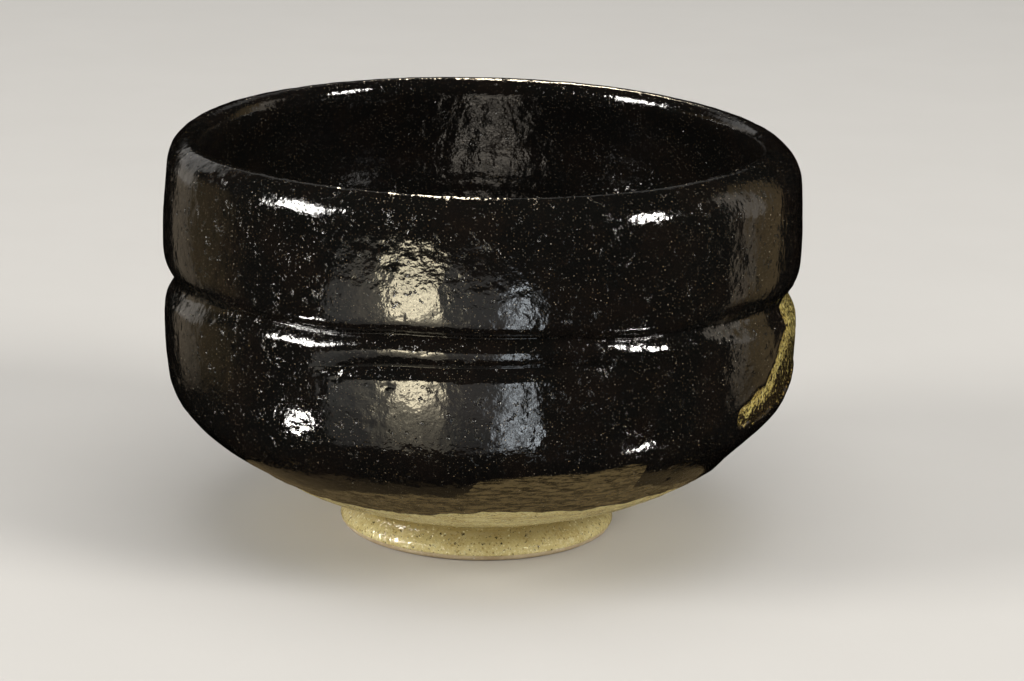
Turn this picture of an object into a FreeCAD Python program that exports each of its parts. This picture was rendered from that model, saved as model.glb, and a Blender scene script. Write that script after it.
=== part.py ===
import FreeCAD, Part
import math
import os

# Matcha bowl: a half-cylinder tea bowl with a waist groove, a rounded belly and
# a low flared foot. Millimetres. +Z is up, the origin is the centre of the
# foot's resting face, and -Y is the front. Azimuths run from the front towards +X.

# ---- driving dimensions ----
BODY_RADIUS = 60.6        # widest, on the upper bulge
HEIGHT = 76.4             # resting face to the crest of the lip
LIP_RADIUS = 54.8         # crest of the lip
FOOT_RADIUS = 26.7        # flared edge of the foot
FOOT_INNER_RADIUS = 20.2
FOOT_EDGE_ROUND = 1.1
RECESS_DEPTH = 4.9        # underside of the floor, inside the foot ring
NECK_RADIUS = 24.3
NECK_HEIGHT = 4.9
GLAZE_LINE_RADIUS = 46.4  # where the black glaze ends on the belly
GLAZE_LINE_HEIGHT = 16.2
GLAZE_LINE_SLOPE = 35     # of the belly there, in degrees
GROOVE_HEIGHT = 51.4      # the deep line of the waist
GROOVE_DEPTH = 1.9
SECOND_GROOVE_DROP = 4.6  # the shallow line lies this far below the deep one
RIDGE_DROP = 2.1
FLOOR_HEIGHT = 10.9       # top of the floor at its centre, glaze included
POOL_RADIUS = 20.0        # shallow tea pool in the floor
POOL_DEPTH = 1.3
WALL = 4.9                # glaze to glaze

BLACK_GLAZE = 0.8
STRAW_GLAZE = 0.35
STRAW_GLAZE_END = 1.4     # height of its lower edge, clear of the resting face

WINDOW_AZIMUTH = 97.0     # middle of the window in the black glaze, in degrees
WINDOW_TOP = 48.2         # just under the waist's grooves
WINDOW_BOTTOM = 31.0

LONG_CURVE_SAMPLES = 60   # points that an offset of a whole side passes through
SHORT_CURVE_SAMPLES = 24


def point(radius, height):
    return FreeCAD.Vector(radius, 0, height)


def smooth_curve(points):
    curve = Part.BSplineCurve()
    curve.interpolate(points)
    return curve


def offset_curve(curve, distance, samples, start, end):
    """The same curve moved sideways, between two given ends. A positive distance is to its left."""
    first = curve.FirstParameter
    span = curve.LastParameter - first
    moved = [start]
    for step in range(1, samples):
        parameter = first + span * step / samples
        tangent = curve.tangent(parameter)[0]
        left = FreeCAD.Vector(-tangent.z, 0, tangent.x)
        moved.append(curve.value(parameter) + left * distance)
    moved.append(end)
    return smooth_curve(moved)


def under_glaze_line(depth):
    """The point at this depth below the glaze line, square to the belly."""
    slope = math.radians(GLAZE_LINE_SLOPE)
    return point(GLAZE_LINE_RADIUS - depth * math.sin(slope), GLAZE_LINE_HEIGHT + depth * math.cos(slope))


def revolve(edges):
    face = Part.Face(Part.Wire(Part.__sortEdges__(edges)))
    return face.revolve(FreeCAD.Vector(0, 0, 0), FreeCAD.Vector(0, 0, 1), 360)


def joined(start, end):
    return Part.LineSegment(start, end).toShape()


def band(outer, inner):
    """A coat: the ring of section between two curves that run the same way."""
    edges = [outer.toShape(), inner.toShape()]
    edges.append(joined(outer.StartPoint, inner.StartPoint))
    edges.append(joined(outer.EndPoint, inner.EndPoint))
    return revolve(edges)


# ---- visible outlines, as the glaze shows them ----
# Belly, waist and shoulder, from the glaze line up to the crest of the lip.
upper_outline = smooth_curve([
    point(GLAZE_LINE_RADIUS, GLAZE_LINE_HEIGHT),
    point(52.4, 20.7),
    point(57.7, 26.3),
    point(BODY_RADIUS - 0.8, 32.5),
    point(BODY_RADIUS - 0.2, 39.5),
    point(BODY_RADIUS - 0.5, GROOVE_HEIGHT - SECOND_GROOVE_DROP - 2.2),
    point(BODY_RADIUS - 1.4, GROOVE_HEIGHT - SECOND_GROOVE_DROP),
    point(BODY_RADIUS - 0.7, GROOVE_HEIGHT - RIDGE_DROP),
    point(BODY_RADIUS - GROOVE_DEPTH, GROOVE_HEIGHT),
    point(BODY_RADIUS - 0.4, GROOVE_HEIGHT + 2.4),
    point(BODY_RADIUS, GROOVE_HEIGHT + 8.5),
    point(BODY_RADIUS - 0.5, 68.0),
    point(59.2, 72.8),
    point(57.5, 75.3),
    point(LIP_RADIUS, HEIGHT),
])
# Lower belly and neck, from the glaze line down to the foot's flared edge.
lower_outline = smooth_curve([
    point(GLAZE_LINE_RADIUS, GLAZE_LINE_HEIGHT),
    point(41.2, 12.9),
    point(35.6, 10.0),
    point(28.6, 7.4),
    point(NECK_RADIUS, NECK_HEIGHT),
    point(FOOT_RADIUS - 1.0, 3.0),
    point(FOOT_RADIUS, STRAW_GLAZE_END),
])
# Inside, from the crest of the lip down the wall to the middle of the floor.
inside_outline = smooth_curve([
    point(LIP_RADIUS, HEIGHT),
    point(53.1, 75.2),
    point(53.2, 72.3),
    point(BODY_RADIUS - WALL - 1.0, 66.0),
    point(BODY_RADIUS - WALL - 0.2, 59.0),
    point(BODY_RADIUS - WALL - 1.2, 49.0),
    point(BODY_RADIUS - WALL - 1.2, 40.0),
    point(53.2, 31.0),
    point(49.0, 23.8),
    point(41.5, 18.0),
    point(31.0, 14.2),
    point(POOL_RADIUS + 2.5, FLOOR_HEIGHT + POOL_DEPTH + 0.5),
    point(POOL_RADIUS - 3.0, FLOOR_HEIGHT + 0.5),
    point(8.0, FLOOR_HEIGHT + 0.1),
    point(0, FLOOR_HEIGHT),
])

# ---- clay faces, under the coats ----
under_lip = point(LIP_RADIUS, HEIGHT - BLACK_GLAZE)
upper_clay = offset_curve(upper_outline, BLACK_GLAZE, LONG_CURVE_SAMPLES,
                          under_glaze_line(BLACK_GLAZE), under_lip)
lower_clay = offset_curve(lower_outline, -STRAW_GLAZE, SHORT_CURVE_SAMPLES,
                          under_glaze_line(STRAW_GLAZE), point(FOOT_RADIUS - STRAW_GLAZE, STRAW_GLAZE_END))
inside_clay = offset_curve(inside_outline, BLACK_GLAZE, LONG_CURVE_SAMPLES,
                           under_lip, point(0, FLOOR_HEIGHT - BLACK_GLAZE))

# The thinner coat in the window shares its clay face and lies lower than the black.
window_step = BLACK_GLAZE - STRAW_GLAZE
window_face = offset_curve(upper_outline, window_step, LONG_CURVE_SAMPLES,
                           under_glaze_line(window_step), point(LIP_RADIUS, HEIGHT - window_step))

# ---- coats, as full rings ----
outer_ring = band(upper_outline, upper_clay)
window_ring = band(window_face, upper_clay)
lower_straw_glaze = band(lower_outline, lower_clay)
inner_black_glaze = band(inside_outline, inside_clay)

# ---- clay ----
# The body and the foot ring meet on a level plane at the recess's ceiling.
foot_end = lower_clay.EndPoint
foot_corners = [
    inside_clay.EndPoint,
    point(0, RECESS_DEPTH),
    point(FOOT_INNER_RADIUS, RECESS_DEPTH),
    point(FOOT_INNER_RADIUS, FOOT_EDGE_ROUND),
    point(FOOT_INNER_RADIUS + FOOT_EDGE_ROUND, 0),
    point(foot_end.x - FOOT_EDGE_ROUND, 0),
    foot_end,
]
clay_edges = [curve.toShape() for curve in (upper_clay, inside_clay, lower_clay)]
clay_edges += [joined(start, end) for start, end in zip(foot_corners, foot_corners[1:])]
clay_edges.append(joined(lower_clay.StartPoint, upper_clay.StartPoint))
clay = revolve(clay_edges)
below_floor = Part.makeCylinder(2 * BODY_RADIUS, RECESS_DEPTH)
foot_ring = clay.common(below_floor)
stoneware_body = clay.cut(below_floor)


# ---- window in the black glaze ----
def window_prism():
    """A bar along the window's azimuth, with the window's outline as its section."""
    outline = [(-25.0, WINDOW_TOP - 0.2), (-26.3, 44.4), (-29.8, 41.6), (-33.5, 38.4), (-38.0, 35.2),
               (-41.5, WINDOW_BOTTOM), (-33.0, 33.6), (-22.0, 37.4), (-10.0, 39.8), (8.0, 39.4),
               (21.0, 40.6), (25.0, 44.6), (17.0, WINDOW_TOP - 0.4), (-6.0, WINDOW_TOP)]
    outward = math.radians(WINDOW_AZIMUTH)
    across = FreeCAD.Vector(math.cos(outward), math.sin(outward), 0)
    away = FreeCAD.Vector(math.sin(outward), -math.cos(outward), 0)
    start = away * (BODY_RADIUS / 3)
    corners = [start + across * side + FreeCAD.Vector(0, 0, height) for side, height in outline]
    curve = Part.BSplineCurve()
    curve.interpolate(corners, PeriodicFlag=True)
    return Part.Face(Part.Wire(curve.toShape())).extrude(away * BODY_RADIUS)


window_bar = window_prism()
outer_black_glaze = outer_ring.cut(window_bar)
window_straw_glaze = window_ring.common(window_bar)

# ---- export ----
os.makedirs("parts", exist_ok=True)
nodes = {
    "stoneware_body": stoneware_body,
    "foot_ring": foot_ring,
    "outer_black_glaze": outer_black_glaze,
    "inner_black_glaze": inner_black_glaze,
    "lower_straw_glaze": lower_straw_glaze,
    "window_straw_glaze": window_straw_glaze,
}
for name, shape in nodes.items():
    print(name, "valid", shape.isValid(), "solids", len(shape.Solids), "cm3", round(shape.Volume / 1000, 2))
    shape.exportStep("parts/" + name + ".step")
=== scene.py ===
"""Matcha bowl: the looks around the packed clay and glaze frame.

Lengths in this file are millimetres until a mesh, lamp or camera is made, which is in metres.
Azimuths run from the bowl's front (-Y) towards +X, in radians unless a name says degrees.
"""

import math

import bpy
import numpy as np
from mathutils import Matrix, Vector


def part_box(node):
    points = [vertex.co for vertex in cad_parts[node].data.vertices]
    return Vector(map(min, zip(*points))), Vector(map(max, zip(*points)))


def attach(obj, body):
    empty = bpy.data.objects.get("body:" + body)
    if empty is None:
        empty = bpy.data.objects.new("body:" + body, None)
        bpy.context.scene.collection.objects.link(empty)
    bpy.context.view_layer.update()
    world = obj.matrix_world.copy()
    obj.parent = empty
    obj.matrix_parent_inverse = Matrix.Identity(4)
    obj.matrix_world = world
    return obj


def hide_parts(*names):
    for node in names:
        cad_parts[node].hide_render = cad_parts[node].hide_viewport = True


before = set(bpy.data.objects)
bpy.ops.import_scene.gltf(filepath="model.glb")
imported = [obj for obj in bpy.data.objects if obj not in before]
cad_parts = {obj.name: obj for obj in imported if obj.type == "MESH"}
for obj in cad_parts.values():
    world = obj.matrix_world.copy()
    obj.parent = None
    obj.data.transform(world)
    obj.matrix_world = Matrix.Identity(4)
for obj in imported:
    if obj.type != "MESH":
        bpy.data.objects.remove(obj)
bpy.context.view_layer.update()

MM = 0.001
TURN = 2 * math.pi


def in_mm(corner):
    return np.array(corner) / MM


# ---- sizes, most of them read from the frame ----
outer_low, outer_high = map(in_mm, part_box("outer_black_glaze"))
straw_low = in_mm(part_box("lower_straw_glaze")[0])
ring_high = in_mm(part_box("foot_ring")[1])
inner_low = in_mm(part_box("inner_black_glaze")[0])

BLACK_COAT = 0.8  # thickness of each glaze
STRAW_COAT = 0.35
HEIGHT = outer_high[2]
BODY = outer_high[0] - 0.4  # radius at the middle of the upper bulge
WAIST_HEIGHT = 52.2  # the waist's deep line, at the front
GLAZE_LINE = outer_low[2]  # where the black glaze ends on the belly
FOOT = ring_high[0] + STRAW_COAT  # radius of the flared foot, glaze included
FOOT_EDGE = straw_low[2]  # where the straw glaze stops, above the resting face
FOOT_TOP = ring_high[2]  # ceiling of the recess
FOOT_INNER = 20.2  # radius of the recess
FLOOR = inner_low[2] + BLACK_COAT  # the floor's middle, inside


# ---- small mathematics ----
def ease(low, high, value):
    """0 below low, 1 above high, smooth between."""
    t = np.clip((value - low) / (high - low), 0, 1)
    return t * t * (3 - 2 * t)


def hump(value, centre, width):
    """1 at the centre, falling to 0 about two widths away on either side."""
    return np.exp(-(((value - centre) / width) ** 2))


def degrees_round(azimuth):
    """An azimuth in degrees from the front, up to 180 either way."""
    return np.degrees(np.arctan2(np.sin(azimuth), np.cos(azimuth)))


def off_axis(radius, azimuth):
    """x and y of the points at this radius and azimuth."""
    return radius * np.sin(azimuth), -radius * np.cos(azimuth)


def ripples(x, y, z, longest, shortest, seed, waves=36):
    """Smooth random relief of about -1 to 1, with bumps between two sizes (mm)."""
    random = np.random.default_rng(seed)
    total = np.zeros(np.broadcast(x, y, z).shape)
    for _ in range(waves):
        wave = random.normal(size=3)
        wave *= TURN / random.uniform(shortest, longest) / np.linalg.norm(wave)
        total += np.cos(wave[0] * x + wave[1] * y + wave[2] * z + random.uniform(0, TURN))
    return total / math.sqrt(waves)


def lengths_along(points):
    """Distance along a line to each of its points."""
    return np.concatenate([[0], np.cumsum(np.hypot(*np.diff(points, axis=0).T))])


def smooth_line(points, step=0.05):
    """Evenly spaced points along a natural cubic spline through some points."""
    points = np.array(points, float)
    knots = lengths_along(points)
    gaps = np.diff(knots)
    count = len(points)
    matrix = np.eye(count)
    slopes = np.zeros((count, 2))
    for i in range(1, count - 1):
        matrix[i, i - 1:i + 2] = gaps[i - 1], 2 * (gaps[i - 1] + gaps[i]), gaps[i]
        slopes[i] = 6 * ((points[i + 1] - points[i]) / gaps[i] - (points[i] - points[i - 1]) / gaps[i - 1])
    bends = np.linalg.solve(matrix, slopes)
    along = np.linspace(0, knots[-1], int(knots[-1] / step))
    i = np.clip(np.searchsorted(knots, along, side="right") - 1, 0, count - 2)
    gap = gaps[i][:, None]
    before = (along - knots[i])[:, None] / gap
    after = 1 - before
    return (after * points[i] + before * points[i + 1]
            + gap ** 2 / 6 * ((after ** 3 - after) * bends[i] + (before ** 3 - before) * bends[i + 1]))


# ---- the section: up the outside from the foot, over the lip, down to the floor's middle ----
SECTION = smooth_line([
    (FOOT, FOOT_EDGE), (FOOT - 1.0, 3.0), (FOOT - 2.4, FOOT_TOP), (28.6, 7.4), (35.6, 10.0),
    (41.4, 13.0), (46.4, GLAZE_LINE), (52.7, 21.0), (55.9, 24.2), (58.7, 28.1), (59.8, 32.5),
    (BODY - 0.3, 39.5), (BODY - 0.3, 46.0), (BODY - 0.1, 54.0), (BODY, 60.0), (BODY - 0.4, 68.0),
    (59.4, 72.8), (57.5, 75.3), (54.9, HEIGHT), (53.4, 75.5), (52.8, 73.6), (53.3, 70.9),
    (54.7, 65.5), (55.5, 59.0), (54.5, 49.0), (54.5, 40.0), (53.2, 31.0), (49.0, 23.8),
    (41.5, 18.0), (31.0, 14.2), (22.5, FLOOR + 1.8), (17.0, FLOOR + 0.5), (8.0, FLOOR + 0.1),
    (0, FLOOR),
])
ALONG = lengths_along(SECTION)
HEADING = np.gradient(SECTION, ALONG, axis=0)
HEADING /= np.hypot(*HEADING.T)[:, None]
CREST = ALONG[np.argmax(SECTION[:, 1])]  # how far along the lip's crest comes
LAST = ALONG[-1] - 0.7  # where the rings of points end, close to the axis


def height_at(along):
    return np.interp(along, ALONG, SECTION[:, 1])


def along_outside(height):
    """Distance along the section to this height on the outer side."""
    outside = (ALONG <= CREST) & (SECTION[:, 0] > FOOT - 2.6)
    return np.interp(height, SECTION[outside, 1], ALONG[outside])


# ---- how this bowl departs from a perfect turned shape ----
def lip_rise(azimuth):
    """The lip rises and dips by under half a millimetre on the way round."""
    waves = ((1, 0.21, 85), (2, 0.29, 34), (3, 0.12, -132), (4, 0.13, -115))
    return sum(size * np.cos(order * azimuth - math.radians(phase)) for order, size, phase in waves)


def groove_height(azimuth):
    """The waist's deep line: level in front, sunk at the sides, a little higher at the back."""
    side = np.abs(degrees_round(azimuth))
    level = WAIST_HEIGHT - 1.2 * ease(12, 30, side) - 2.8 * ease(34, 90, side)
    return level + 1.3 * ease(100, 180, side)


# How far the deep groove presses in: (height from its line, depth), as two flanks that meet.
GROOVE_DEPTH = 1.95
LINE_WIDTH = 0.02  # across the bottom of a groove
DEEP_GROOVE = np.vstack([
    smooth_line([(-6.0, 0), (-4.5, 0.03), (-3.0, 0.15), (-2.2, 0.38), (-1.6, 0.72), (-1.0, 1.16),
                 (0, GROOVE_DEPTH)]),
    smooth_line([(LINE_WIDTH, GROOVE_DEPTH), (0.8, 0.98), (1.5, 0.50), (2.2, 0.20), (3.0, 0.05),
                 (4.5, 0)]),
])
# The second, shallower groove below it, which leaves a narrow ridge between the two.
SECOND_LINE = 5.3  # drop from the deep line
SECOND_DEPTH = 1.38
SECOND_GROOVE = np.vstack([
    smooth_line([(-8.5, 0), (-7.4, 0.02), (-7.0, 0.10), (-6.6, 0.34), (-6.1, 0.72),
                 (-SECOND_LINE, SECOND_DEPTH)]),
    smooth_line([(LINE_WIDTH - SECOND_LINE, SECOND_DEPTH), (-4.7, 1.07), (-4.1, 0.80),
                 (-3.5, 0.57), (-2.8, 0.34), (-2.0, 0.13), (-1.4, 0.03), (-0.5, 0)]),
])


def groove_tilt(azimuth):
    """The second groove climbs a little from left to right, by this much per degree."""
    return 0.022 * degrees_round(azimuth)


def waist(azimuth, height):
    """How far the waist presses the outer side in: two grooves in front, one notch at the sides."""
    side = np.abs(degrees_round(azimuth))
    above = height - groove_height(azimuth)
    deep = np.interp(above, DEEP_GROOVE[:, 0], DEEP_GROOVE[:, 1], 0, 0)
    second = np.interp(above - groove_tilt(azimuth), SECOND_GROOVE[:, 0], SECOND_GROOVE[:, 1], 0, 0)
    second = second * (1 - ease(19, 31, side))
    notch = GROOVE_DEPTH * hump(above, 0, np.where(above > 0, 3.0, 2.6))
    at_the_side = ease(31, 62, side)
    return (deep + second) * (1 - at_the_side) + notch * at_the_side


def lean(height):
    """How far the rings at this height stand towards +X, as no part sits quite true."""
    belly = -0.9 * hump(height, 23, 5)
    turned = 1.0 * hump(height, 15, 2.6)
    foot = -0.35 * (1 - ease(8, 12, height)) * ease(3, 6, height)
    lip = -0.65 * ease(69, 75.5, height)
    return belly + turned + foot + lip


def place(along, azimuth, lift):
    """Points of the bowl's surface, raised along its normal by lift. Broadcasts rows and columns."""
    radius = np.interp(along, ALONG, SECTION[:, 0])
    height = height_at(along)
    out = np.interp(along, ALONG, HEADING[:, 1])
    up = -np.interp(along, ALONG, HEADING[:, 0])
    outer = 1 - ease(CREST - 6, CREST + 4, along)
    swell_inside = 0.5 * hump(height, groove_height(azimuth), 5)
    push = lift - waist(azimuth, height) * outer
    push = push + swell_inside * (1 - outer)
    radius = radius + out * push
    height = height + up * push
    oval = 0.0025 * np.cos(2 * azimuth - 0.9)
    radius = radius * (1 + oval * ease(10, 40, height))
    height = height + lip_rise(azimuth) * ease(52, 74, height)
    x, y = off_axis(radius, azimuth)
    x = x + lean(height)
    slow = 0.16 * ripples(x, y, height, 60, 25, seed=3, waves=16) * ease(2, 14, height)
    return np.stack([x * (1 + slow / BODY), y * (1 + slow / BODY), height + 0 * x], -1)


def relief(points, size, longest, shortest, seed):
    """Ripples of this size at points of the surface."""
    return size * ripples(points[..., 0], points[..., 1], points[..., 2], longest, shortest, seed)


def pits(points, count, smallest, largest, seed):
    """Round pinholes with a faint raised rim, as depth to take off the surface."""
    random = np.random.default_rng(seed)
    flat = points.reshape(-1, 3)
    depth = np.zeros(len(flat))
    for index in random.integers(0, len(flat), count):
        radius = smallest + (largest - smallest) * random.random() ** 2
        near = np.flatnonzero(np.abs(flat[:, 2] - flat[index, 2]) < 2.5 * radius)
        distance = np.linalg.norm(flat[near] - flat[index], axis=1) / radius
        bowl, rim = 0.42 * np.exp(-distance ** 2 * 1.6), 0.07 * hump(distance, 1.45, 0.4)
        depth[near] += radius * (bowl - rim)
    return depth.reshape(points.shape[:-1])


# ---- the glaze's edges ----
def glaze_line(azimuth):
    """Height at which the black glaze stops, lower on the front left."""
    degrees = degrees_round(azimuth)
    level = GLAZE_LINE - 2.3 + 2.4 * ease(-19, -3, degrees) * (1 - ease(70, 150, degrees))
    level = level + 1.2 * ease(-95, -60, -np.abs(degrees + 130))
    x, y = off_axis(45, azimuth)
    waves = 0.35 * ripples(x, y, 0, 14, 5, seed=11)
    return level + waves + 0.12 * ripples(x, y, 0, 3, 1.6, seed=12)


# A brown band is painted over the lower belly: a painted reflection of a lit surface below the bowl.
# The band's upper edge, as azimuth in degrees and height. It steps up across the front right.
REFLECTION_BAND_EDGE = [
    (-180, 19.5), (-140, 18.2), (-100, 17.2), (-60, 17.0), (-38, 17.9), (-28, 19.6), (-21, 20.6),
    (-6, 21.7), (-0.8, 22.2), (0.8, 25.6), (5, 26.2), (12, 26.5), (24, 27.2), (32, 27.8),
    (33, 21.2), (45, 18.8), (63, 16.6), (95, 18.6), (125, 20.4), (150, 18.6), (180, 19.5),
]


def below_reflection_band_edge(azimuth, height):
    """Distance in mm below the upper edge of the painted reflection band, negative above it."""
    edge = np.interp(degrees_round(azimuth), *np.transpose(REFLECTION_BAND_EDGE))
    x, y = off_axis(50, azimuth)
    return edge + 0.35 * ripples(x, y, 0, 9, 4, seed=25) - height


WINDOW_MIDDLE = 97.0  # azimuth in degrees
# Outline of the window in the black glaze: degrees from its middle, and height.
# The front edge falls from just under the groove to a point, and the rest runs round the side.
WINDOW_FRONT = [
    (-15, 47.6), (-24.5, 48.0), (-26.0, 44.4), (-29.5, 41.7), (-32.4, 39.6), (-34.2, 37.0),
    (-39.0, 35.3), (-42.5, 33.6), (-44.2, 32.0),
]
WINDOW_REST = [
    (-41.0, 31.0), (-33.0, 31.2), (-25.0, 32.0), (-15.0, 34.2), (-4, 36.6), (6, 37.2), (17, 39.2),
    (24, 42.2), (21, 45.6), (10, 46.4), (-3, 46.6), (-15, 47.6),
]
DEGREE = math.radians(1) * BODY  # length of one degree round the body
FAR_FROM_WINDOW = 20.0  # stands for any distance too great to matter


def to_line(spots, line):
    """Distance from each spot to a line of points."""
    best = np.full(len(spots), 1e9)
    for start, end in zip(line, line[1:]):
        run = end - start
        share = np.clip(((spots - start) @ run) / max(run @ run, 1e-12), 0, 1)
        best = np.minimum(best, np.linalg.norm(spots - start - share[:, None] * run, axis=1))
    return best


def inside_outline(spots, line):
    """Whether each spot lies inside a closed line of points."""
    inside = np.zeros(len(spots), bool)
    for start, end in zip(line, line[1:]):
        if start[1] == end[1]:
            continue
        crosses = (start[1] > spots[:, 1]) != (end[1] > spots[:, 1])
        level = start[0] + (end[0] - start[0]) * (spots[:, 1] - start[1]) / (end[1] - start[1])
        inside ^= crosses & (spots[:, 0] < level)
    return inside


def window_distance(azimuth, height):
    """Distance in mm outside the window's edge (negative inside), and distance from its front edge."""
    azimuth, height = np.broadcast_arrays(azimuth, height)
    degrees = degrees_round(azimuth) - WINDOW_MIDDLE
    outside = np.full(azimuth.shape, FAR_FROM_WINDOW)
    from_front = np.full(azimuth.shape, FAR_FROM_WINDOW)
    near = (np.abs(degrees) < 62) & (height > 20) & (height < 58)
    # The top edge follows the groove, which sinks round the side.
    sunk = groove_height(azimuth[near]) - groove_height(math.radians(WINDOW_MIDDLE))
    sunk = sunk * ease(42, 48, height[near])
    spots = np.stack([degrees[near] * DEGREE, height[near] - sunk], -1)
    outline = smooth_line(WINDOW_FRONT + WINDOW_REST, step=0.8) * (DEGREE, 1)
    front = smooth_line(WINDOW_FRONT[1:], step=0.8) * (DEGREE, 1)
    distance = to_line(spots, outline)
    outside[near] = np.where(inside_outline(spots, outline), -distance, distance)
    from_front[near] = to_line(spots, front)
    return outside, from_front


def under_coat(along):
    """The clay's face, below the section: deeper under the black coat than under the straw one."""
    outside = STRAW_COAT + (BLACK_COAT - STRAW_COAT) * ease(12, 20, height_at(along))
    return -np.where(along < CREST, outside, BLACK_COAT)


# ---- meshes ----
def add_object(name, data):
    made = bpy.data.objects.new(name, data)
    bpy.context.scene.collection.objects.link(made)
    return made


class Shell:
    """Collects rings of points, the smooth faces between them, and flat faces for the hems."""

    def __init__(self):
        self.points = []
        self.faces = []
        self.hems = []
        self.total = 0

    def rings(self, points):
        """Adds rows of points, one row for each ring, and returns their indices."""
        rows, columns = points.shape[:2]
        index = self.total + np.arange(rows * columns).reshape(rows, columns)
        self.points.append(points.reshape(-1, 3))
        self.total += rows * columns
        return index

    def join(self, index, flip=False):
        """Quads between the rings of an index grid, each ring closing on itself."""
        a = index[:-1]
        b = index[1:]
        quads = np.stack([a, np.roll(a, -1, 1), np.roll(b, -1, 1), b], -1).reshape(-1, 4)
        self.faces += (quads[:, ::-1] if flip else quads).tolist()

    def hem(self, fine, coarse, flip=False):
        """Triangles between a ring and one with fewer points."""
        ratio = len(fine) // len(coarse)
        made = []
        for j in range(len(coarse)):
            here, there = coarse[j], coarse[(j + 1) % len(coarse)]
            run = [fine[(j * ratio + k) % len(fine)] for k in range(ratio + 1)]
            middle = ratio // 2
            made += [(run[k], run[k + 1], here) for k in range(middle)]
            made.append((run[middle], there, here))
            made += [(run[k], run[k + 1], there) for k in range(middle, ratio)]
        self.hems += [face[::-1] if flip else face for face in made]

    def cap(self, ring, height, flip=False):
        """A fan from a ring to one point on the axis."""
        centre = self.rings(np.array([[[0, 0, height]]]))[0, 0]
        made = [(ring[i], ring[(i + 1) % len(ring)], centre) for i in range(len(ring))]
        self.faces += [face[::-1] if flip else face for face in made]

    def build(self, name):
        mesh = bpy.data.meshes.new(name)
        mesh.from_pydata((np.concatenate(self.points) * MM).tolist(), [], self.faces + self.hems)
        smooth = [True] * len(self.faces) + [False] * len(self.hems)
        mesh.polygons.foreach_set("use_smooth", smooth)
        mesh.update()
        return add_object(name, mesh)


def give_attributes(piece, **attributes):
    """Values for the points in order. Those left over, on the hidden back, take the last one."""
    for name, values in attributes.items():
        values = np.ravel(values)
        data = np.full(len(piece.data.vertices), values[-1], np.float32)
        data[:len(values)] = values
        piece.data.attributes.new(name, "FLOAT", "POINT").data.foreach_set("value", data)


def crease(piece, rows, columns):
    """Marks the edges along some rings of points as sharp."""
    ends = np.zeros(2 * len(piece.data.edges), np.int32)
    piece.data.edges.foreach_get("vertices", ends)
    first, second = ends.reshape(-1, 2).T // columns
    sharp = (first == second) & np.isin(first, rows)
    piece.data.attributes.new("sharp_edge", "BOOLEAN", "EDGE").data.foreach_set("value", sharp)


def set_normals(piece, points, normals):
    """Fixes the shading direction at some of the points, and leaves the others as they are."""
    fixed = np.zeros((len(piece.data.vertices), 3))
    fixed[points] = normals
    piece.data.normals_split_custom_set_from_vertices(fixed.tolist())


def around(columns):
    """Azimuths all the way round, as one row."""
    return (np.arange(columns) * TURN / columns)[None, :]


def grid_faces(rows, columns):
    """Quads over an open grid of points."""
    index = np.arange(rows * columns).reshape(rows, columns)
    quads = [index[:-1, :-1], index[:-1, 1:], index[1:, 1:], index[1:, :-1]]
    return np.stack(quads, -1).reshape(-1, 4)


COARSER = 4  # the hidden back of a coat has this many times fewer columns
BACK_DEPTH = 0.05  # how far that back lies below the clay's face
CLAY_DEPTH = 0.12  # and how far the clay that is built lies below it


def closed_coat(name, front_along, front_lift, back_along, columns, to_centre=False):
    """A coat as a closed shell: a fine front, a plain back against the clay, and hems between."""
    shell = Shell()
    front = place(front_along, around(columns), front_lift)
    index = shell.rings(front)
    shell.join(index)
    back_lift = under_coat(back_along)[:, None] - BACK_DEPTH
    back = place(back_along[:, None], around(columns // COARSER), back_lift)
    back_index = shell.rings(back)
    shell.join(back_index, flip=True)
    shell.hem(index[0], back_index[0], flip=True)
    if to_centre:
        shell.cap(index[-1], front[-1, :, 2].mean())
        shell.cap(back_index[-1], back[-1, :, 2].mean(), flip=True)
    else:
        shell.hem(index[-1], back_index[-1])
    return shell.build(name)


def rows_from(start, *stretches):
    """Distances along the section, through one stretch after another: (end, spacing)."""
    rows = [start]
    for end, spacing in stretches:
        steps = int(round((end - rows[-1]) / spacing))
        rows += np.linspace(rows[-1], end, steps + 1)[1:].tolist()
    return np.array(rows)


# ---- pieces ----
# Where the pour over the lip meets the coat inside, 20 mm down the inner wall.
INNER_WALL = ALONG >= CREST
SEAM = np.interp(20 - HEIGHT, -SECTION[INNER_WALL, 1], ALONG[INNER_WALL])


def skin(along, azimuth):
    """The fired glaze's uneven skin, the same on both black coats so that no line shows."""
    surface = place(along, azimuth, 0.0)
    uneven = relief(surface, 0.026, 9, 5, seed=31) + relief(surface, 0.018, 4, 2.2, seed=32)
    finger_rings = 0.022 * np.cos(TURN * (along / 2.7 + azimuth / TURN))
    finger_rings = finger_rings + 0.012 * np.cos(TURN * along / 1.7)
    return uneven + finger_rings * ease(CREST + 4, CREST + 9, along)


COAT_COLUMNS = 500
FAR_FROM_LINE = 9.0  # stands for the inside's distance from the glaze line
INSIDE = -99.0  # and for its distance below the brown edge


def near_seam(along):
    """1 at the seam between the two black coats, 0 from 4 mm away."""
    return 1 - ease(0, 4, np.abs(along - SEAM))


def seam_normals():
    """The glaze's own directions along the seam, which both black coats take there."""
    azimuth = around(COAT_COLUMNS)
    along = SEAM + np.array([[-0.3], [0], [0.3]])
    above, ring, below = place(along, azimuth, skin(along, azimuth))
    normals = np.cross(below - above, np.roll(ring, -1, 0) - np.roll(ring, 1, 0))
    inwards = -np.sign((normals * ring)[:, :2].sum(axis=1, keepdims=True))
    return normals * inwards / np.linalg.norm(normals, axis=1, keepdims=True)


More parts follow.
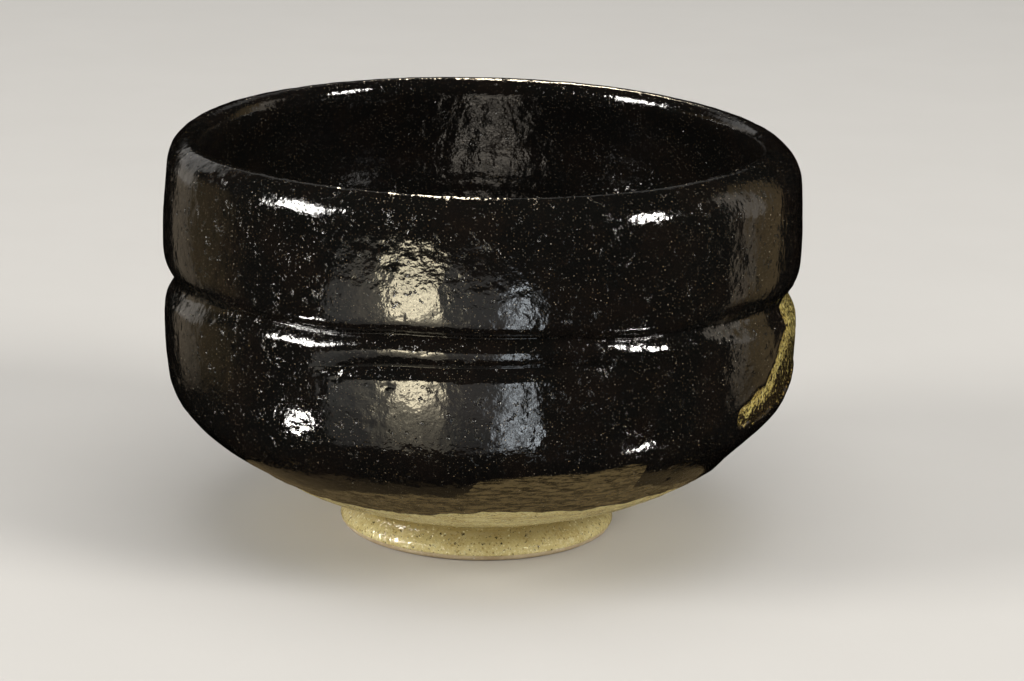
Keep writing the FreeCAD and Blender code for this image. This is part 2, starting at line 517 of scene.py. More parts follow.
def make_outer_black():
    start = along_outside(GLAZE_LINE - 4.5)
    waist_low, waist_high = along_outside(43), along_outside(56)
    deep_line = along_outside(WAIST_HEIGHT)
    second_line = along_outside(WAIST_HEIGHT - SECOND_LINE)
    close, closest, near = 0.28, 0.08, 0.24
    rows = rows_from(start, (waist_low, 0.72), (second_line - near, close),
                     (second_line + near, closest), (deep_line - near, close),
                     (deep_line + near, closest), (waist_high, close),
                     (CREST + 3, 0.68), (SEAM, 0.9))
    azimuth = around(COAT_COLUMNS)
    # The rows sink with the waist, so that the finest of them stay in its grooves.
    follow = ease(along_outside(22), second_line - 1, rows)
    follow = follow * (1 - ease(along_outside(54), CREST, rows))
    sink = (along_outside(groove_height(azimuth)) - deep_line) * follow[:, None]
    second = hump(rows, second_line, 2.2)[:, None] * (1 - ease(31, 60, np.abs(degrees_round(azimuth))))
    along = rows[:, None] + sink + groove_tilt(azimuth) * second
    height = height_at(along)
    # The coat thins to nothing at the glaze line and at the window, behind a rounded bead.
    x, y = off_axis(BODY, azimuth)
    rough = 0.45 * ripples(x, y, height, 7, 3, seed=21)
    rough = rough + 0.22 * ripples(x, y, height, 2.4, 1.4, seed=22)
    above_line = along - along_outside(glaze_line(azimuth))
    from_window = window_distance(azimuth, height)[0] + rough
    margin = np.minimum(above_line, from_window)
    thickness = BLACK_COAT * (1 - np.exp(-np.maximum(margin, 0) / 0.7))
    thickness = thickness + 0.22 * hump(margin, 1.5, 1.0)
    pinholes = pits(place(along, azimuth, 0.0), 480, 0.38, 0.72, seed=33)
    detail = skin(along, azimuth) - pinholes * (1 - near_seam(along))
    lift = under_coat(along) + thickness + ease(0.0, 2.5, margin) * detail
    back = rows_from(start, (waist_low, 3.0), (waist_high, 0.6), (SEAM, 3.0))
    piece = closed_coat("outer_black_coat", along, lift, back, COAT_COLUMNS)
    lines = [np.argmin(np.abs(rows - line)) for line in (second_line, deep_line)]
    crease(piece, lines, COAT_COLUMNS)
    # Distance below the edge of the painted reflection band, on the outside only.
    brown = np.where(along < CREST, below_reflection_band_edge(azimuth, height), INSIDE)
    give_attributes(piece, margin=above_line, window=from_window, brown=brown)
    seam = np.arange((len(rows) - 1) * COAT_COLUMNS, len(rows) * COAT_COLUMNS)
    set_normals(piece, seam, seam_normals())
    return piece


def make_inner_black():
    """The coat inside, with the spiral that the potter's fingers left in the clay under it."""
    along = rows_from(SEAM, (LAST, 0.66))[:, None]
    azimuth = around(COAT_COLUMNS)
    turns = along / 6.5 + azimuth / TURN
    spiral = 0.05 * np.cos(TURN * turns) + 0.02 * np.cos(TURN * turns * 2.3)
    spiral = spiral * ease(SEAM, SEAM + 16, along)
    spiral = spiral * (1 - 0.6 * ease(ALONG[-1] - 24, ALONG[-1] - 14, along))
    pinholes = pits(place(along, azimuth, 0.0), 260, 0.38, 0.7, seed=43)
    lift = skin(along, azimuth) + spiral - pinholes * (1 - near_seam(along))
    back = np.linspace(SEAM, LAST, 60)
    piece = closed_coat("inner_black_coat", along, lift, back, COAT_COLUMNS, to_centre=True)
    give_attributes(piece, margin=FAR_FROM_LINE, window=FAR_FROM_WINDOW, brown=INSIDE)
    set_normals(piece, np.arange(COAT_COLUMNS), seam_normals())
    return piece


def make_lower_straw():
    """The coat from the foot's edge up under the black glaze, over turning marks and a ledge."""
    end = along_outside(GLAZE_LINE + 4.5)
    columns = 600
    along = np.linspace(0, end, 100)[:, None]
    azimuth = around(columns)
    surface = place(along, azimuth, 0.0)
    height = height_at(along)
    turning = (0.035 * np.cos(TURN * (along + 0.9 * np.sin(azimuth + 1)) / 3.1)
               + 0.012 * np.cos(TURN * along / 1.3 + 2 * np.sin(azimuth)))
    turning = turning * ease(2.2, 5, height) * (1 - ease(14.5, 17, height))
    past_ledge = along - along_outside(10.6 + 0.3 * np.cos(azimuth - 0.5))
    ledge = 0.35 * (ease(-0.4, 0.4, past_ledge) - 1) * ease(5.5, 8, height)
    grain = relief(surface, 0.018, 2.8, 1.5, seed=51) + relief(surface, 0.03, 9, 4, seed=52)
    grain = grain - pits(surface, 160, 0.35, 0.7, seed=53)
    thickness = STRAW_COAT * (0.15 + 0.85 * ease(0, 1.2, along)) * (1 - ease(end - 2, end, along))
    uneven = (turning + grain + ledge) * ease(0, 1, along)
    uneven = uneven * (1 - ease(GLAZE_LINE - 0.5, GLAZE_LINE + 2.5, height))
    lift = under_coat(along) + thickness + uneven
    piece = closed_coat("lower_straw_coat", along, lift, np.linspace(0, end, 50), columns)
    # The foot's neck, under the belly, takes the darker tone: painted shade.
    give_attributes(piece, pool=hump(height, FOOT_TOP + 0.6, 2.2) + 0 * azimuth)
    return piece


def make_window_straw():
    """The coat in the window, reaching a little way under the black glaze round it."""
    reach = 2.6
    along = np.linspace(along_outside(27.5), along_outside(54.5), 76)[:, None]
    azimuth = np.radians(np.linspace(WINDOW_MIDDLE - 53, WINDOW_MIDDLE + 33, 240))[None, :]
    height = height_at(along)
    distance, from_front = window_distance(azimuth, height)
    surface = place(along, azimuth, 0.0)
    grain = relief(surface, 0.03, 3.2, 1.5, seed=61) - pits(surface, 50, 0.35, 0.7, seed=62)
    lift = -BLACK_COAT + 1.7 * STRAW_COAT * (1 - ease(1.4, reach, distance)) + grain
    points = place(along, azimuth, lift)
    quads = grid_faces(*distance.shape)
    nearest = distance.ravel()[quads].min(axis=1)
    used, faces = np.unique(quads[nearest < reach], return_inverse=True)
    shell = Shell()
    shell.points.append(points.reshape(-1, 3)[used])
    shell.faces = faces.reshape(-1, 4).tolist()
    piece = shell.build("window_straw_coat")
    # Iron lies over the straw, most of it low down, behind the front edge and at its tip.
    low_and_back = ease(1.6, 4.2, from_front) * (1 - 0.75 * ease(37, 44, height))
    tip = 0.35 * (1 - ease(32.0, 34.5, height))
    iron = 0.42 + 0.62 * low_and_back + tip
    give_attributes(piece, pool=ease(-1.0, 1.5, distance).ravel()[used], iron=iron.ravel()[used])
    thicken = piece.modifiers.new("thickness", "SOLIDIFY")
    thicken.thickness = 0.5 * MM
    thicken.offset = -1
    return piece


def make_body():
    """The clay wall and floor under the coats, closed, with a turned underside inside the foot."""
    shell = Shell()
    azimuth = around(240)
    neck, waist_low, waist_high = map(along_outside, (FOOT_TOP + 0.02, 42, 56))
    along = rows_from(neck, (waist_low, 1.2), (waist_high, 0.5), (SEAM, 1.2), (LAST, 1.6))[:, None]
    wall = place(along, azimuth, under_coat(along) - CLAY_DEPTH)
    wall_index = shell.rings(wall)
    shell.join(wall_index)
    shell.cap(wall_index[-1], wall[-1, :, 2].mean())
    # The recess's ceiling is turned in a spiral, with a small point left in the middle.
    radius = np.linspace(ring_high[0] - 3.0, 0.5, 64)[:, None]
    turned = 1 - ease(17, 20, radius)
    spiral = 0.16 * np.cos(TURN * (radius / 3.1 - azimuth / TURN)) * ease(1, 4, radius) * turned
    middle = 0.9 * hump(radius, 0, 2.6)
    x, y = off_axis(radius, azimuth)
    grit = 0.05 * ripples(x, y, 0, 3.5, 1.6, seed=71) * turned
    under = np.stack([x, y, FOOT_TOP - middle + spiral + grit], -1)
    under_index = shell.rings(under)
    shell.join(np.vstack([wall_index[:1], under_index]), flip=True)
    shell.cap(under_index[-1], under[-1, :, 2].mean(), flip=True)
    return shell.build("clay_wall_and_floor")


def make_foot_ring():
    """The turned clay ring: flared edge, flat resting face, and the recess wall."""
    outline = smooth_line([
        (FOOT - 3.1, FOOT_TOP), (FOOT - 1.8, 3.3), (FOOT - 0.75, 2.0), (FOOT - 0.42, 1.1),
        (FOOT - 0.8, 0.3), (FOOT - 1.6, 0.0), (23.4, 0.0), (FOOT_INNER + 1.5, 0.0),
        (FOOT_INNER + 0.5, 0.35), (FOOT_INNER + 0.1, 1.2), (FOOT_INNER, 2.6),
        (FOOT_INNER + 0.1, FOOT_TOP),
    ], step=0.32)
    shell = Shell()
    azimuth = around(420)
    radius, height = outline[:, :1], outline[:, 1:]
    x, y = off_axis(radius, azimuth)
    grit = 0.07 * ripples(x, y, height, 3.2, 1.5, seed=81)
    grit = grit + 0.05 * ripples(x, y, height, 9, 4, seed=82)
    grit = grit * (ease(0.0, 0.5, height) * (1 - ease(FOOT_TOP - 0.6, FOOT_TOP, height)))
    chips = 0.35 * np.maximum(ripples(x, y, height, 6, 3, seed=83) - 1.5, 0)
    chips = chips * hump(height, 0.8, 0.9)
    swell = 1 + (grit - chips) / radius
    height = np.maximum(height, 0) + 0 * azimuth
    ring = np.stack([x * swell, y * swell, height], -1)
    index = shell.rings(ring)
    shell.join(index, flip=True)
    shell.join(np.stack([index[-1], index[0]]), flip=True)
    return shell.build("foot_ring_clay")


# ---- colours, as linear light: pairs that a pattern chooses between ----
BLACKS = (0.0038, 0.0035, 0.0032, 1), (0.0060, 0.0045, 0.0037, 1)
# The two browns of the band painted over the lower belly, a painted reflection.
REFLECTION_BAND_BROWNS = (0.032, 0.023, 0.010, 1), (0.152, 0.113, 0.052, 1)
FLECKS = (0.40, 0.31, 0.10, 1), (0.15, 0.08, 0.02, 1)
# Specks of the black glaze, partly crystals and partly painted glints.
DUST_AND_GLINTS = (0.085, 0.055, 0.024, 1), (0.110, 0.100, 0.080, 1)
CRYSTALS_AND_GLINTS = (0.38, 0.28, 0.135, 1), (0.54, 0.52, 0.46, 1)
IRONS = (0.006, 0.005, 0.004, 1), (0.045, 0.028, 0.009, 1)
CLAYS = (0.50, 0.405, 0.255, 1), (0.40, 0.30, 0.175, 1)
GRITS = (0.70, 0.64, 0.50, 1), (0.16, 0.095, 0.05, 1)
FLOORS = (0.60, 0.585, 0.56, 1), (0.63, 0.615, 0.59, 1)
MOTTLED_BROWN = (0.019, 0.0125, 0.0085, 1)
THIN_BROWN = (0.20, 0.145, 0.065, 1)
IRON_SPOT = (0.085, 0.045, 0.018, 1)
BRIGHT_CLAY = (0.62, 0.54, 0.38, 1)
# Each straw glaze has a pale, a deep, a bright and a darker tone. The foot's darker tone is painted shade
# at its neck under the belly; the window's is glaze pooled at its edge.
STRAWS = ((0.64, 0.55, 0.255, 1), (0.50, 0.40, 0.165, 1),
          (0.84, 0.78, 0.46, 1), (0.33, 0.245, 0.080, 1))
# The window's tones: the straw glaze again, yellower and darker, the darkness painted shade for the less
# light on the bowl's side there.
SHADED_GOLDS = ((0.47, 0.385, 0.115, 1), (0.32, 0.235, 0.055, 1),
         (0.78, 0.70, 0.33, 1), (0.16, 0.095, 0.022, 1))


# ---- materials ----
class Shader:
    """A small hand for building node materials. Its sizes and depths are in millimetres."""

    def __init__(self, name):
        self.material = bpy.data.materials.new(name)
        self.material.use_nodes = True
        self.tree = self.material.node_tree
        self.surface = next(n for n in self.tree.nodes if n.type == "BSDF_PRINCIPLED")
        self.coordinates = self.add("ShaderNodeTexCoord", {})["Object"]

    def feed(self, node, inputs):
        """Sets a node's inputs, by name or number, to values or from other nodes' outputs."""
        for key, value in inputs.items():
            if isinstance(value, bpy.types.NodeSocket):
                self.tree.links.new(value, node.inputs[key])
            else:
                node.inputs[key].default_value = value

    def add(self, kind, inputs, **settings):
        """Makes a node and returns its outputs."""
        node = self.tree.nodes.new(kind)
        for key, value in settings.items():
            setattr(node, key, value)
        self.feed(node, inputs)
        return node.outputs

    def noise(self, size, detail=3.0, roughness=0.55, coordinates=None):
        inputs = {"Vector": coordinates or self.coordinates, "Scale": 1 / (size * MM),
                  "Detail": detail, "Roughness": roughness}
        return self.add("ShaderNodeTexNoise", inputs)["Fac"]

    def stretched(self, *factors):
        """The object's coordinates, with the pattern squeezed by a factor in each direction."""
        inputs = {"Vector": self.coordinates, "Scale": factors}
        return self.add("ShaderNodeMapping", inputs)["Vector"]

    def value(self, name):
        return self.add("ShaderNodeAttribute", {}, attribute_name=name)["Fac"]

    def span(self, value, low, high, to_low=0.0, to_high=1.0):
        """Takes low..high smoothly to to_low..to_high, and stays level beyond."""
        inputs = dict(enumerate((value, low, high, to_low, to_high)))
        return self.add("ShaderNodeMapRange", inputs, interpolation_type="SMOOTHSTEP")[0]

    def maths(self, operation, first, second):
        return self.add("ShaderNodeMath", {0: first, 1: second}, operation=operation)[0]

    def plus(self, first, second):
        return self.maths("ADD", first, second)

    def times(self, first, second):
        return self.maths("MULTIPLY", first, second)

    def blend(self, share, first, second):
        """The first colour where the share is 0, the second where it is 1."""
        inputs = {"Factor": share, "A": first, "B": second}
        return self.add("ShaderNodeMix", inputs, data_type="RGBA")["Result"]

    def two_tone(self, pattern, low, high, first, second):
        """The first colour where the pattern is low, the second where it is high."""
        return self.blend(self.span(pattern, low, high), first, second)

    def dots(self, spacing, radius_share, keep):
        """Round dots, one in some of the cells: their mask, and a random value for each."""
        inputs = {"Vector": self.coordinates, "Scale": 1 / (spacing * MM)}
        cells = self.add("ShaderNodeTexVoronoi", inputs)
        chance = self.add("ShaderNodeSeparateColor", {0: cells["Color"]})
        dot = self.span(cells["Distance"], radius_share * 0.55, radius_share, 1.0, 0.0)
        lit = self.span(chance[0], 1 - keep - 0.02, 1 - keep + 0.02)
        return self.times(dot, lit), chance[1]

    def bump(self, height, depth, **before):
        """The Normal of this relief, on top of the Normal of the one before."""
        return self.add("ShaderNodeBump", {"Height": height, "Distance": depth * MM, **before})["Normal"]

    def finish(self, colour, roughness, **others):
        self.feed(self.surface, {"Base Color": colour, "Roughness": roughness, **others})
        return self.material


def black_glaze():
    shader = Shader("black_iron_glaze")
    brown = shader.value("brown")
    colour = shader.two_tone(shader.noise(9, 4), 0.42, 0.70, *BLACKS)
    mottle = shader.span(shader.noise(0.9, 4, 0.7), 0.54, 0.74, 0.0, 0.5)
    colour = shader.blend(mottle, colour, MOTTLED_BROWN)
    # The brown band painted over the lower belly, a painted reflection of a lit surface below the bowl,
    # streaked along the turning and feathered at its edge.
    streaks = shader.noise(3.2, 8, 0.85, shader.stretched(1, 1, 5.0))
    feathered = shader.plus(brown, shader.times(streaks, 3.0))
    reflection_band = shader.span(feathered, 1.25, 2.0, 0.0, 0.85)
    reflection_and_thin_tone = shader.two_tone(streaks, 0.44, 0.56, *REFLECTION_BAND_BROWNS)
    # At the glaze line the coat thins out raggedly.
    ragged = shader.plus(shader.value("margin"), shader.times(shader.noise(1.8, 5, 0.65), -3.0))
    thin = shader.span(ragged, -1.5, 0.5, 0.8, 0.0)
    reflection_and_thin_tone = shader.blend(thin, reflection_and_thin_tone, THIN_BROWN)
    share = shader.maths("MAXIMUM", reflection_band, thin)
    colour = shader.blend(share, colour, reflection_and_thin_tone)
    # Beside the window it breaks into flecks of the straw colour.
    beside = shader.span(shader.value("window"), 0.3, 2.6, 0.08, -0.20)
    flecks = shader.span(shader.plus(shader.noise(0.8, 4, 0.75), beside), 0.57, 0.62, 0.0, 0.9)
    fleck_tone = shader.two_tone(shader.noise(0.5, 3), 0.4, 0.6, *FLECKS)
    colour = shader.blend(flecks, colour, fleck_tone)
    # Specks painted into the colour, partly crystals in the glass and partly painted glints of light off
    # tiny bumps: a dust of fine ones, and fewer that stand out, mostly outside.
    grouping = shader.span(shader.noise(6, 4), 0.35, 0.65, 0.2, 1.0)
    outside = shader.span(brown, 0.95 * INSIDE, 0.8 * INSIDE, 0.35, 1.0)
    dust_and_glints, dust_and_glint_kind = shader.dots(0.42, 0.26, 0.45)
    dust_and_glint_tone = shader.blend(dust_and_glint_kind, *DUST_AND_GLINTS)
    colour = shader.blend(shader.times(dust_and_glints, grouping), colour, dust_and_glint_tone)
    crystals_and_glints, crystal_and_glint_kind = shader.dots(1.0, 0.110, 0.5)
    crystal_and_glint_tone = shader.blend(crystal_and_glint_kind, *CRYSTALS_AND_GLINTS)
    colour = shader.blend(shader.times(shader.times(crystals_and_glints, outside), grouping), colour, crystal_and_glint_tone)
    rough = shader.span(shader.noise(2.4, 4, 0.6), 0.3, 0.75, 0.045, 0.11)
    rough = shader.plus(rough, shader.times(share, 0.14))
    # Hammered skin: broad facets, faint wrinkles, steep dents, pinholes, and pricks that glint.
    facets = shader.bump(shader.noise(2.6, 3, 0.5), 0.13)
    wrinkles = shader.bump(shader.noise(0.9, 2, 0.5), 0.043, Normal=facets)
    dent = shader.times(shader.span(shader.noise(1.7, 3, 0.6), 0.62, 0.71, 0.0, -1.0), outside)
    dents = shader.bump(dent, 0.09, Normal=wrinkles)
    pinhole, _ = shader.dots(2.4, 0.15, 0.6)
    pinholes = shader.bump(shader.times(pinhole, -1.0), 0.14, Normal=dents)
    prick, _ = shader.dots(0.75, 0.22, 0.5)
    pricks = shader.bump(shader.times(prick, -1.0), 0.022, Normal=pinholes)
    return shader.finish(colour, rough, Normal=pricks, IOR=1.52)


def straw_glaze(name, pale, deep, bright, pooled):
    """The thin ash glaze: four tones, with grains, iron spots and a darker tone, which is painted shade at
    the foot's neck and pooled glaze at the window's edge.
    """
    shader = Shader(name)
    colour = shader.two_tone(shader.noise(6, 4), 0.35, 0.7, pale, deep)
    colour = shader.blend(shader.span(shader.noise(1.4, 4, 0.7), 0.52, 0.70, 0.0, 0.7), colour, bright)
    colour = shader.blend(shader.span(shader.noise(0.5, 4, 0.8), 0.50, 0.62, 0.0, 0.55), colour, bright)
    # Darker at the foot's neck, as painted shade under the belly, and at the window's edge, where the glaze
    # pooled.
    colour = shader.blend(shader.times(shader.value("pool"), 0.75), colour, pooled)
    grains, kind = shader.dots(0.7, 0.34, 0.6)
    grain_tone = shader.two_tone(kind, 0.4, 0.6, bright, pooled)
    colour = shader.blend(shader.times(grains, 0.8), colour, grain_tone)
    spots, _ = shader.dots(3.4, 0.08, 0.3)
    colour = shader.blend(spots, colour, IRON_SPOT)
    # Where the black coat was thin, its iron lies over the straw in patches.
    patches = shader.plus(shader.noise(0.7, 4, 0.8), shader.times(shader.value("iron"), 0.2))
    iron_tone = shader.two_tone(shader.noise(0.5, 3), 0.4, 0.7, *IRONS)
    colour = shader.blend(shader.span(patches, 0.585, 0.64), colour, iron_tone)
    rough = shader.span(shader.noise(1.8, 3), 0.35, 0.7, 0.09, 0.24)
    coarse = shader.bump(shader.noise(0.95, 2, 0.55), 0.24)
    return shader.finish(colour, rough, Normal=shader.bump(grains, 0.05, Normal=coarse))


def buff_clay():
    shader = Shader("buff_stoneware")
    colour = shader.two_tone(shader.noise(7, 4), 0.35, 0.7, *CLAYS)
    bright = shader.span(shader.noise(0.7, 4, 0.7), 0.5, 0.72, 0, 0.6)
    colour = shader.blend(bright, colour, BRIGHT_CLAY)
    grit, kind = shader.dots(1.2, 0.22, 0.35)
    colour = shader.blend(grit, colour, shader.blend(kind, *GRITS))
    rough = shader.span(shader.noise(1.5, 3), 0.3, 0.7, 0.72, 0.93)
    coarse = shader.bump(shader.noise(0.6, 4, 0.65), 0.12)
    return shader.finish(colour, rough, Normal=shader.bump(grit, 0.08, Normal=coarse))


# ---- camera ----
def make_camera():
    """Stands in front at the height of someone kneeling at the table, with a slight roll."""
    distance = 625.0
    elevation, yaw, tilt, roll = map(math.radians, (18.5, 0.59, 15.32, 1.37))
    data = bpy.data.cameras.new("camera")
    data.lens = 112.5
    data.sensor_width = 36
    camera = add_object("camera", data)
    stand = Vector((0, -distance * math.cos(elevation), distance * math.sin(elevation))) * MM
    matrix = Matrix.Translation(stand)
    for angle, axis in ((-yaw, "Z"), (math.pi / 2 - tilt, "X"), (roll, "Z")):
        matrix = matrix @ Matrix.Rotation(angle, 4, axis)
    camera.matrix_world = matrix
    bpy.context.scene.camera = camera


# ---- studio ----
WARM = np.array((1.0, 0.86, 0.64))
SUNLIT = np.array((1.0, 0.885, 0.61))
PALE_WARM = np.array((1.0, 0.90, 0.76))
NEUTRAL = np.array((1.0, 0.97, 0.92))
COOL = np.array((0.86, 0.94, 1.0))
GREY = np.array((1.0, 0.98, 0.94))
BROWN = np.array((1.0, 0.72, 0.36))
VIEWER = 593  # level distance from the bowl's axis to someone who looks at it from the front
FAR = 1400  # distance of the walls and the bright panels from the bowl
WALL_TOP = 1100
TABLE_EDGE = 450
CARD_HEIGHT = 0.3  # of the table's cards above the resting face
NO_FADE = 1e-6  # as good as none, and not zero, because ease divides by it


def make_lamp(name, azimuth, elevation, distance, size, watts):
    """A soft panel that lights the bowl from a direction in degrees, and isn't mirrored in it."""
    data = bpy.data.lights.new(name, "AREA")
    data.shape = "DISK"
    data.size = size * MM
    data.energy = watts
    data.color = NEUTRAL
    lamp = add_object(name, data)
    azimuth, elevation = math.radians(azimuth), math.radians(elevation)
    level = math.cos(elevation)
    away = Vector((math.sin(azimuth) * level, -math.cos(azimuth) * level, math.sin(elevation)))
    lamp.location = away * distance * MM
    lamp.rotation_euler = away.to_track_quat("Z", "Y").to_euler()
    lamp.visible_camera = False
    lamp.visible_glossy = False


def glow(name, both_sides):
    """Light from a card, in the colour that each of its points carries. Its back can be clear."""
    material = bpy.data.materials.new(name)
    material.use_nodes = True
    tree = material.node_tree
    tree.nodes.clear()
    shade = tree.nodes.new("ShaderNodeAttribute")
    shade.attribute_name = "glow"
    emission = tree.nodes.new("ShaderNodeEmission")
    tree.links.new(shade.outputs["Color"], emission.inputs["Color"])
    light = emission.outputs[0]
    if not both_sides:
        either = tree.nodes.new("ShaderNodeMixShader")
        geometry = tree.nodes.new("ShaderNodeNewGeometry")
        clear = tree.nodes.new("ShaderNodeBsdfTransparent")
        tree.links.new(geometry.outputs["Backfacing"], either.inputs[0])
        tree.links.new(light, either.inputs[1])
        tree.links.new(clear.outputs[0], either.inputs[2])
        light = either.outputs[0]
    tree.links.new(light, tree.nodes.new("ShaderNodeOutputMaterial").inputs["Surface"])
    return material


def make_card(name, points, light, both_sides=True):
    """A glowing card that only gloss shows, from a grid of points in mm and the light of each."""
    mesh = bpy.data.meshes.new(name)
    faces = grid_faces(*points.shape[:2])
    mesh.from_pydata((points.reshape(-1, 3) * MM).tolist(), [], faces.tolist())
    colours = np.ones((len(mesh.vertices), 4), np.float32)
    colours[:, :3] = light.reshape(-1, 3)
    glowing = mesh.attributes.new("glow", "FLOAT_COLOR", "POINT")
    glowing.data.foreach_set("color", colours.ravel())
    mesh.materials.append(glow(name + "_glow", both_sides))
    card = add_object(name, mesh)
    for ray in ("camera", "diffuse", "transmission", "volume_scatter", "shadow"):
        setattr(card, "visible_" + ray, False)


def unit_grid(across=96, up=64):
    """Shares of the way across and up a card, for each of its points."""
    return np.meshgrid(np.linspace(0, 1, across + 1), np.linspace(0, 1, up + 1))


def soften(u, v, sides, near, far):
    """Fades a card's light out by shares of it, at its sides, its near end and its far end."""
    fade = ease(0, sides, u) * ease(0, sides, 1 - u)
    return (fade * ease(0, near, v) * ease(0, far, 1 - v))[..., None]


def mirrored_card(name, shown, profile, tone, fade, skew=0):
    """A card that shows in the glaze between two azimuths, seen from the front.

    Its profile is a line of (distance from the bowl, height), its tone gives the light at an
    azimuth and a sum of those two, and its skew moves one side further away than the other.
    """
    u, v = unit_grid()
    degrees = shown[0] + (shown[1] - shown[0]) * u
    profile = np.array(profile, float)
    lengths = lengths_along(profile)
    reach = np.interp(v ** 2 * lengths[-1], lengths, profile[:, 0]) + skew * (u - 0.5)
    height = np.interp(v ** 2 * lengths[-1], lengths, profile[:, 1])
    at = np.radians(degrees)
    away = 2 * at + BODY / VIEWER * np.sin(at)
    x = BODY * np.sin(at) + reach * np.sin(away)
    y = -BODY * np.cos(at) - reach * np.cos(away)
    light = tone(degrees, reach + height) * soften(u, v, *fade)
    make_card(name, np.stack([x, y, height], -1), light)


def sky_card(name, azimuths, elevations, tone, distance=500):
    """A card overhead, between two azimuths and two elevations in degrees."""
    u, v = unit_grid()
    degrees = azimuths[0] + (azimuths[1] - azimuths[0]) * u
    raised = np.radians(elevations[0] + (elevations[1] - elevations[0]) * v)
    x, y = off_axis(distance * np.cos(raised), np.radians(degrees))
    points = np.stack([x, y, HEIGHT + distance * np.sin(raised)], -1)
    make_card(name, points, tone(degrees, distance) * soften(u, v, 0.15, 0.15, 0.15))


def even(colour, strength):
    """The same light all over a card."""
    return lambda degrees, reach: strength * colour + 0 * degrees[..., None]


def broken(colour, strength, length, seed):
    """Light in blotches, each about a third of the given length of card."""
    def tone(degrees, reach):
        blotches = ripples(2 * degrees, 18 * reach / length, 0, 7, 2.5, seed)
        return strength * np.clip(0.45 + 1.1 * blotches, 0, 2)[..., None] * colour
    return tone


def table_glow(degrees, reach):
    """The lit table in front: grey, with a warm patch and a cooler streak on its right."""
    run = 14 * np.log(reach)
    uneven = ripples(degrees, run, 0, 6, 1.8, seed=91)
    mottled = ripples(degrees, run, 0, 3, 1.2, seed=92)
    # The warm patch fades towards the bowl, and its sides grow softer there.
    spread = 4.5 * (1 - ease(95, 150, reach))
    left = ease(-15.8 - spread, -14.4 + 0.5 * spread, degrees)
    right = 1 - ease(-8.2 - 0.5 * spread, -6.8 + spread, degrees)
    warm = 13.5 * left * right * np.clip(1 + 0.5 * uneven, 0.3, 2) + 0.9 * hump(degrees, -15, 7)
    warm = warm * (0.07 + 0.13 * ease(60, 105, reach) + 0.80 * ease(105, 165, reach))
    # The cool streak has a dark gap near the bowl, and ends sooner on its right further out.
    gap = hump(degrees, 8.2, 0.7) * (1 - ease(100, 130, reach))
    gap = gap + ease(8.8, 9.4, degrees) * ease(110, 140, reach)
    cool = 4.4 * ease(2.5, 7.0, degrees) * np.clip(1 - 1.3 * mottled, 0.05, 3) * (1 - 0.95 * gap)
    grey = 0.52 * (0.6 + 0.4 * ease(60, 130, reach))
    light = warm[..., None] * SUNLIT + cool[..., None] * COOL + grey[..., None] * GREY
    far_edge = np.interp(degrees, (-28, -25.5, -20, -2, 3, 9), (220, 400, TABLE_EDGE, TABLE_EDGE, 360, 270))
    return light * (1 - ease(0.75 * far_edge, far_edge, reach))[..., None]


def left_wall_glow(degrees, reach):
    """A pale wall at the left, and a dim brown one beside it."""
    high = ease(0.2 * FAR, FAR, reach)
    top = ease(1.12 * FAR, 1.4 * FAR, reach)
    lit = ease(-70 - 11 * top, -68 - 11 * top, degrees)
    pale = (0.11 + 0.42 * high) * (1 - ease(-61 - 4 * top, -58 - 4 * top, degrees)) * lit
    brown = 0.18 * (1 - ease(-52, -43, degrees)) * (1 - top) * lit
    return pale[..., None] * GREY + brown[..., None] * BROWN


def right_wall_glow(degrees, reach):
    """A brown wall at the right with a paler edge."""
    high = ease(0.6 * FAR, FAR, reach)
    pale = (0.25 + 0.38 * high) * (1 - ease(52, 54 + 4 * high, degrees))
    return pale[..., None] * GREY + 0.31 * BROWN


def under_disc(name, radius, colour, strength):
    """The patch of floor that the lower belly mirrors."""
    u, v = unit_grid(64, 4)
    x, y = off_axis(radius * v, TURN * u)
    points = np.stack([x, y, 0.2 + 0 * u], -1)
    make_card(name, points, strength * colour + 0 * points)


def mouth_card(name, low, high, colour, strength):
    """A faint streaky card across the bowl's middle, between corners (x, z), lit to the back."""
    u, v = unit_grid()
    x = low[0] + (high[0] - low[0]) * u
    z = low[1] + (high[1] - low[1]) * v
    streaks = np.clip(0.9 + 1.2 * ripples(0.15 * x, z, 0, 7, 1.8, seed=95), 0.06, 2.5)
    light = strength * streaks[..., None] * soften(u, v, 0.08, 0.1, 0.1) * colour
    make_card(name, np.stack([x, 0 * x, z], -1), light, both_sides=False)


def make_floor():
    mesh = bpy.data.meshes.new("studio_floor")
    half = 4.0  # metres
    corners = [(-half, -half, 0), (half, -half, 0), (half, half, 0), (-half, half, 0)]
    mesh.from_pydata(corners, [], [(0, 1, 2, 3)])
    shader = Shader("pale_studio_floor")
    colour = shader.blend(shader.noise(40, 3), *FLOORS)
    mesh.materials.append(shader.finish(colour, 0.9, **{"Specular IOR Level": 0.0}))
    floor = add_object("studio_floor", mesh)
    floor.visible_glossy = False


def make_world():
    world = bpy.data.worlds.new("studio_air")
    world.use_nodes = True
    background = world.node_tree.nodes["Background"]
    background.inputs["Color"].default_value = (0.95, 0.97, 1.0, 1)
    background.inputs["Strength"].default_value = 0.32
    world.cycles_visibility.glossy = False
    bpy.context.scene.world = world


make_camera()
bpy.context.scene.view_settings.view_transform = "Standard"
make_world()
make_floor()
make_lamp("overhead_panel", 20, 80, 1300, 1300, 8)
make_lamp("left_lamp", -71, 24, 2400, 1000, 34)
make_lamp("right_lamp", 62, 30, 2400, 1000, 34)
make_lamp("front_lamp", -12, 16, 2600, 1100, 14)

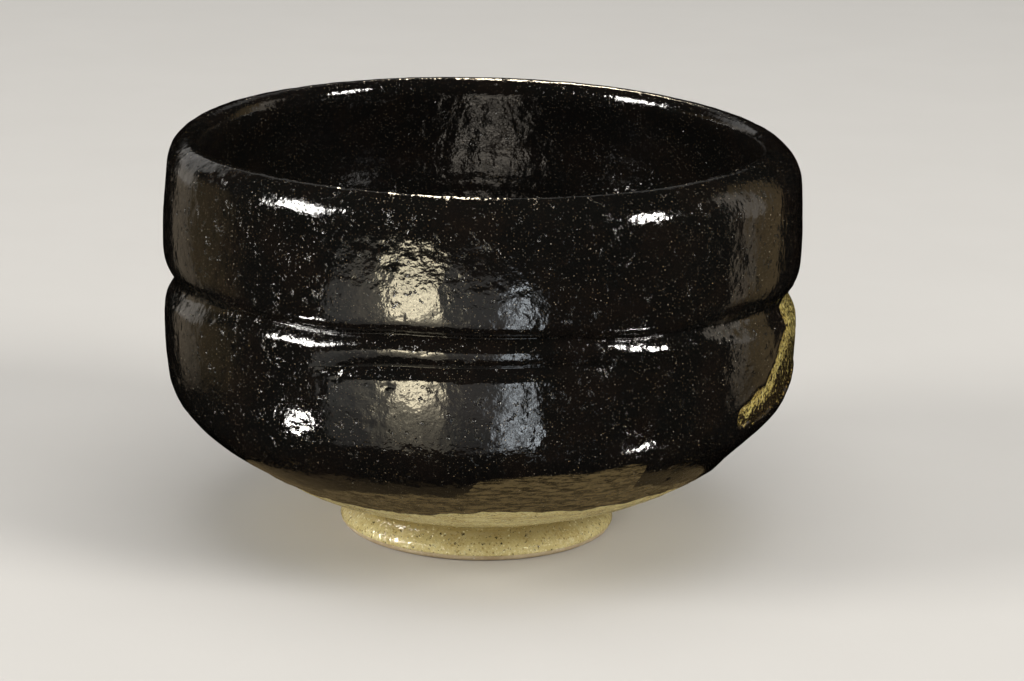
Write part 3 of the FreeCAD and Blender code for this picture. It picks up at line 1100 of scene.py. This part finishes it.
# Bright panels, and what they light up of the table below them.
key_fade = (0.25, 0.25, 0.25)
mirrored_card("left_key", (-41.0, -28.0), [(FAR, 300), (FAR, 1200)],
              broken(NEUTRAL, 80, 900, 96), key_fade)
mirrored_card("right_key", (28.3, 35), [(FAR, 620), (FAR, 1280)],
              broken(NEUTRAL, 120, 900, 97), key_fade)
mirrored_card("left_key_below", (-36.5, -31), [(65, 0.5), (79, 0.5)],
              broken(NEUTRAL, 150, 14, 98), key_fade)
mirrored_card("right_key_below", (28.3, 33.5), [(37.5, 0.5), (41.5, 0.5)],
              even(NEUTRAL, 100), key_fade, skew=16)

# The table in front, and a wall at each side that rises from it.
wall_fade = (0.04, 0.2, 0.06)
up_the_wall = [(78, CARD_HEIGHT), (FAR, CARD_HEIGHT), (FAR, WALL_TOP)]
mirrored_card("front_table", (-28, 10.6), [(44, CARD_HEIGHT), (TABLE_EDGE, CARD_HEIGHT)],
              table_glow, (0.02, 0.03, NO_FADE))
mirrored_card("left_wall", (-82, -43), up_the_wall, left_wall_glow, wall_fade)
mirrored_card("right_wall", (49.5, 63), up_the_wall, right_wall_glow, wall_fade)

# What the lip, the lower belly and the back of the inside mirror.
sky_card("back_window", (180.4, 187), (36, 66), even(WARM, 40))
sky_card("back_wall", (150, 210), (27, 42), even(GREY, 0.24), distance=900)
under_disc("under_belly", 51, BROWN, 0.12)
mouth_card("mouth_glow", (2.6, 8), (-8.6, 62), PALE_WARM, 1.8)

black = black_glaze()
straw = straw_glaze("straw_glaze", *STRAWS)
# The window's glaze is the straw glaze with darker tones, painted shade.
shaded_gold = straw_glaze("shaded_gold_straw_glaze", *SHADED_GOLDS)
clay = buff_clay()
PIECES = (
    (make_outer_black, black, "black_glaze", "outer_black_glaze"),
    (make_inner_black, black, "black_glaze", "inner_black_glaze"),
    (make_lower_straw, straw, "straw_glaze", "lower_straw_glaze"),
    (make_window_straw, shaded_gold, "straw_glaze", "window_straw_glaze"),
    (make_body, clay, "buff_clay", "stoneware_body"),
    (make_foot_ring, clay, "buff_clay", "foot_ring"),
)
for make, material, slot, node in PIECES:
    piece = make()
    piece.data.materials.append(material)
    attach(piece, "root")
    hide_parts(node)
